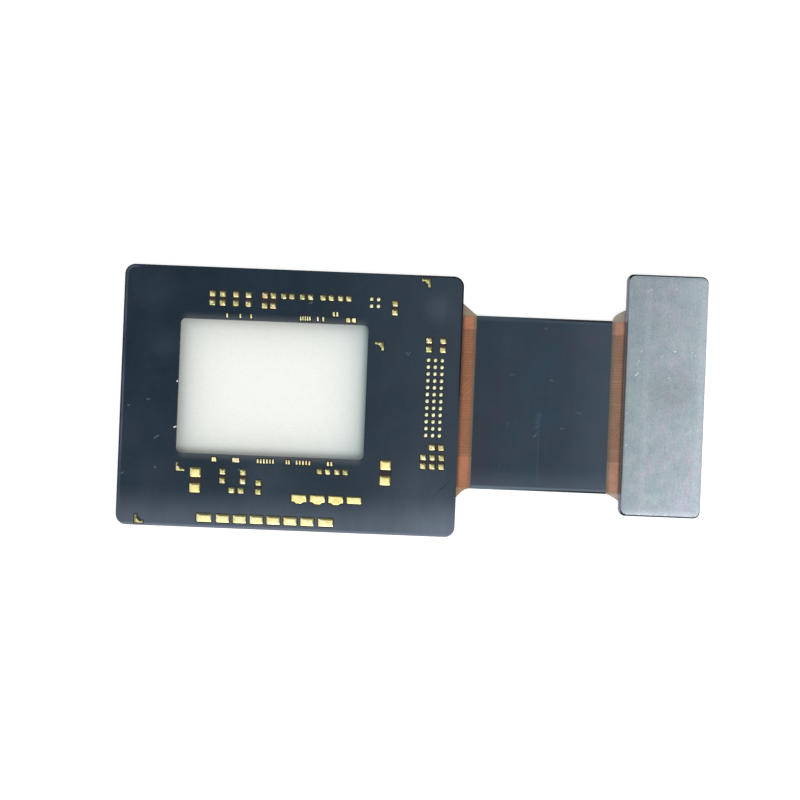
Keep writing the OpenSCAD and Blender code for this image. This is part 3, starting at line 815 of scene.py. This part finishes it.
def lowered_faces(mesh, side):
    """The faces that look up or down, moved in by the height of a crown."""
    faces = [f for f in mesh.faces if f.normal.z * side > FACING]
    for vert in {v for f in faces for v in f.verts}:
        vert.co.z -= side * LAND_CROWN_MM
    return faces


def plated_lands(node, material, side=UP):
    """Lands with softly crowned faces, as plating leaves them."""
    mesh = merged_copy(node)
    faces = lowered_faces(mesh, side)
    outlines = [[v.co.copy() for v in f.verts] for f in faces]
    for ring in CROWN_RINGS:
        bmesh.ops.inset_individual(mesh, faces=faces, thickness=FIRST_INSET_MM)
        for face, outline in zip(faces, outlines):
            for vert, place in zip(face.verts, shrunk(outline, ring * CROWN_WIDTH_MM[node])):
                vert.co = place + Vector((0, 0, side * crown_height(ring)))
    return piece(node + "_plated", mesh, "gold_plating", material, node)


def plated_marks(node, material):
    """Angle marks with a low crown."""
    mesh = merged_copy(node)
    faces = lowered_faces(mesh, UP)
    bmesh.ops.inset_individual(
        mesh, faces=faces, thickness=CROWN_WIDTH_MM[node], depth=LAND_CROWN_MM, use_even_offset=True
    )
    return piece(node + "_plated", mesh, "gold_plating", material, node)


def flex_layer(name, node, slot, material, low, high):
    """A sheet with the outline of the flexible core, between two heights."""
    mesh = merged_copy("flex_core")
    middle = (max(v.co.z for v in mesh.verts) + min(v.co.z for v in mesh.verts)) / 2
    for vert in mesh.verts:
        vert.co.z = high if vert.co.z > middle else low
    return piece(name, mesh, slot, material, node)


def flex_layers():
    core_low, core_high = (c.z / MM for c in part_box("flex_core"))
    front_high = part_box("front_coverlay")[1].z / MM
    back_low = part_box("back_coverlay")[0].z / MM
    traces_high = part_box("front_traces")[1].z / MM
    plane_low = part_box("back_ground_plane")[0].z / MM
    cover, core = coverlay(), polyimide()
    flex_layer("core_film", "flex_core", "polyimide", core,
               core_low + LAYER_GAP_MM, core_high - LAYER_GAP_MM)
    flex_layer("front_coverlay_film", "front_coverlay", "coverlay", cover,
               traces_high + LAYER_GAP_MM, front_high)
    flex_layer("back_coverlay_film", "back_coverlay", "coverlay", cover,
               back_low, plane_low - LAYER_GAP_MM)


def stiffener_plate():
    """Steel plate with the rounded edges of a blanked and tumbled sheet."""
    mesh = merged_copy("stiffener")
    rims = [e for e in mesh.edges if abs(e.verts[0].co.z - e.verts[1].co.z) < SAME_HEIGHT_MM]
    bmesh.ops.bevel(
        mesh, geom=rims, offset=STIFFENER_BEVEL_MM, segments=3, profile=0.5,
        affect="EDGES", clamp_overlap=True,
    )
    return piece("stiffener_plate", mesh, "steel", steel(), "stiffener")


# Scene


def opening_box():
    """The window's outline, from the opening that the record states."""
    opening = frame["record"]["physics"]["openings"][0]
    low, high = (Vector(c) for c in opening["box_m"])
    grow = Vector((OPENING_CLEARANCE_MM, OPENING_CLEARANCE_MM, 0)) * MM
    return low - grow, high + grow


def window_shade(material, window):
    """Painted shade that fades inwards from the window's four sides."""
    low, high = (Vector(c) / MM for c in window)
    clear = 1.0
    distances = {
        "left": material.math("SUBTRACT", material.x, low.x),
        "right": material.math("SUBTRACT", high.x, material.x),
        "lower": material.math("SUBTRACT", material.y, low.y),
        "upper": material.math("SUBTRACT", high.y, material.y),
    }
    for side, distance in distances.items():
        fade = material.math("EXPONENT", material.math("DIVIDE", distance, -WINDOW_FADE_MM))
        fade = material.math("MULTIPLY", fade, WALL_SHADE[side])
        clear = material.math("MULTIPLY", clear, material.math("SUBTRACT", 1.0, fade))
    return material.math("SUBTRACT", 1.0, clear, clamp=True)


def floor_material():
    """White paper. It glows for the camera and for reflections, but little in the window, where
    painted shade fades in from the walls.
    """
    material = Material("paper", Roughness=0.9, **{"Specular IOR Level": 0.1})
    window = opening_box()
    depth = material.inside(window, WINDOW_CORNER_MM)
    through = material.smooth(depth, *WINDOW_EDGE_MM)
    shade = window_shade(material, window)
    fibres = material.noise(0.35, 4.0, low=0.98, high=1.0)
    speckle = material.smooth(through, 0, 1, 1.0, material.noise(0.07, 2.0, low=0.97, high=1.03))
    low, high = (c.x / MM for c in window)
    rightwards = material.smooth(material.x, (low + high) / 2, high)
    # Colour of the painted shade in the window, bluer to the right
    painted_light = material.mix(rightwards, PAPER_SHADE, PAPER_SHADE_RIGHT)
    seen = material.mix(shade, PAPER_IN_WINDOW, painted_light)
    colour = material.mix(through, (0.9, 0.9, 0.9), seen)
    colour = material.shade(colour, material.math("MULTIPLY", fibres, speckle))
    material.set(Base_Color=colour)
    path = material.add("LightPath").outputs
    rays = material.most([path["Is Camera Ray"], path["Is Glossy Ray"], path["Is Transmission Ray"]])
    clear = material.math("MULTIPLY", material.math("SUBTRACT", 1.0, shade), WINDOW_GLOW)
    glow = material.add("Mix", {0: through, 2: FLOOR_GLOW, 3: clear}).outputs[0]
    glow = material.math("MULTIPLY", rays, glow)
    material.set(Emission_Color=(1, 1, 1), Emission_Strength=glow)
    material.bump(fibres, 0.004)
    return material.data


def add_floor():
    mesh = bmesh.new()
    bmesh.ops.create_grid(mesh, x_segments=1, y_segments=1, size=FLOOR_SIZE / 2)
    data = bpy.data.meshes.new("floor")
    mesh.to_mesh(data)
    mesh.free()
    floor = bpy.data.objects.new("floor", data)
    floor.location.z = -FLOOR_DROP
    bpy.context.scene.collection.objects.link(floor)
    floor.data.materials.append(floor_material())


def add_world():
    """Even light from above, a little brighter near the horizon, and white where it is seen."""
    world = bpy.data.worlds.new("studio")
    bpy.context.scene.world = world
    world.use_nodes = True
    nodes, links = world.node_tree.nodes, world.node_tree.links
    nodes.clear()
    coords = nodes.new("ShaderNodeTexCoord")
    split = nodes.new("ShaderNodeSeparateXYZ")
    links.new(coords.outputs["Generated"], split.inputs[0])
    level = nodes.new("ShaderNodeMapRange")
    level.interpolation_type = "SMOOTHSTEP"
    level.inputs["From Min"].default_value = 0.0
    level.inputs["From Max"].default_value = 0.7
    level.inputs["To Min"].default_value = HORIZON_LIGHT
    level.inputs["To Max"].default_value = CEILING_LIGHT
    links.new(split.outputs["Z"], level.inputs["Value"])
    path = nodes.new("ShaderNodeLightPath")
    white = nodes.new("ShaderNodeMath")
    white.operation = "MAXIMUM"
    links.new(path.outputs["Is Camera Ray"], white.inputs[0])
    links.new(level.outputs[0], white.inputs[1])
    background = nodes.new("ShaderNodeBackground")
    links.new(white.outputs[0], background.inputs["Strength"])
    background.inputs["Color"].default_value = (1, 1, 1, 1)
    output = nodes.new("ShaderNodeOutputWorld")
    links.new(background.outputs[0], output.inputs["Surface"])


def add_lamp(name, place, size, power, colour):
    data = bpy.data.lights.new(name, "AREA")
    data.shape = "DISK"
    data.size = size
    data.energy = power
    data.color = colour
    lamp = bpy.data.objects.new(name, data)
    lamp.location = place
    lamp.rotation_euler = (-Vector(place)).to_track_quat("-Z", "Y").to_euler()
    bpy.context.scene.collection.objects.link(lamp)


def add_camera():
    data = bpy.data.cameras.new("camera")
    data.sensor_width = CAMERA_SENSOR_MM
    data.lens = CAMERA_SENSOR_MM * CAMERA_DISTANCE / VIEW_WIDTH
    data.clip_start = CAMERA_DISTANCE / 100
    data.clip_end = FLOOR_SIZE * 2
    camera = bpy.data.objects.new("camera", data)
    camera.location = Vector(CAMERA_AIM_MM) * MM + Vector((0, 0, CAMERA_DISTANCE))
    camera.rotation_euler = (0, 0, CAMERA_TURN)
    bpy.context.scene.collection.objects.link(camera)
    bpy.context.scene.camera = camera


def dress_boards():
    paint(sensor_mask(), "sensor_board_front_mask")
    paint(solder_mask(), "sensor_board_back_mask", "connector_board_back_mask")
    paint(plug_mask(), "connector_board_front_mask")
    paint(
        laminate(), "sensor_board_front_laminate", "sensor_board_back_laminate",
        "connector_board_front_laminate", "connector_board_back_laminate",
    )
    paint(adhesive(), "stiffener_adhesive")


def dress_flex():
    paint(copper(), "front_traces", "back_ground_plane")
    paint(shield_film("shield_film_front", "front_shield_film", True), "front_shield_film")
    paint(shield_film("shield_film_back", "back_shield_film", False), "back_shield_film")
    flex_layers()


def plate_lands():
    bright = gold("gold_plating", 0.65)
    plated_lands("actuator_lands", bright)
    plated_lands("connector_lands", bright, DOWN)
    yellow = gold("gold_plating_yellow", 0.3)
    plated_lands("supply_capacitor_lands", yellow)
    plated_lands("test_lands", yellow)
    plated_lands("passive_lands", small_gold("gold_plating_small", 0.8, 1.0))
    silvery = ball_gold()
    plated_lands("actuator_driver_lands", silvery)
    plated_lands("memory_chip_lands", silvery)
    plated_lands("bond_fingers", small_gold("gold_plating_fine", 0.9, 1.5))
    plated_marks("alignment_marks", small_gold("gold_plating_marks", 0.4, 0.85))


bpy.context.scene.view_settings.view_transform = "Standard"
dress_boards()
dress_flex()
stiffener_plate()
plate_lands()
add_floor()
add_world()
add_lamp("key", KEY_PLACE, KEY_SIZE, KEY_POWER, (1.0, 0.98, 0.96))
add_lamp("fill", FILL_PLACE, FILL_SIZE, FILL_POWER, (0.94, 0.97, 1.0))
add_camera()
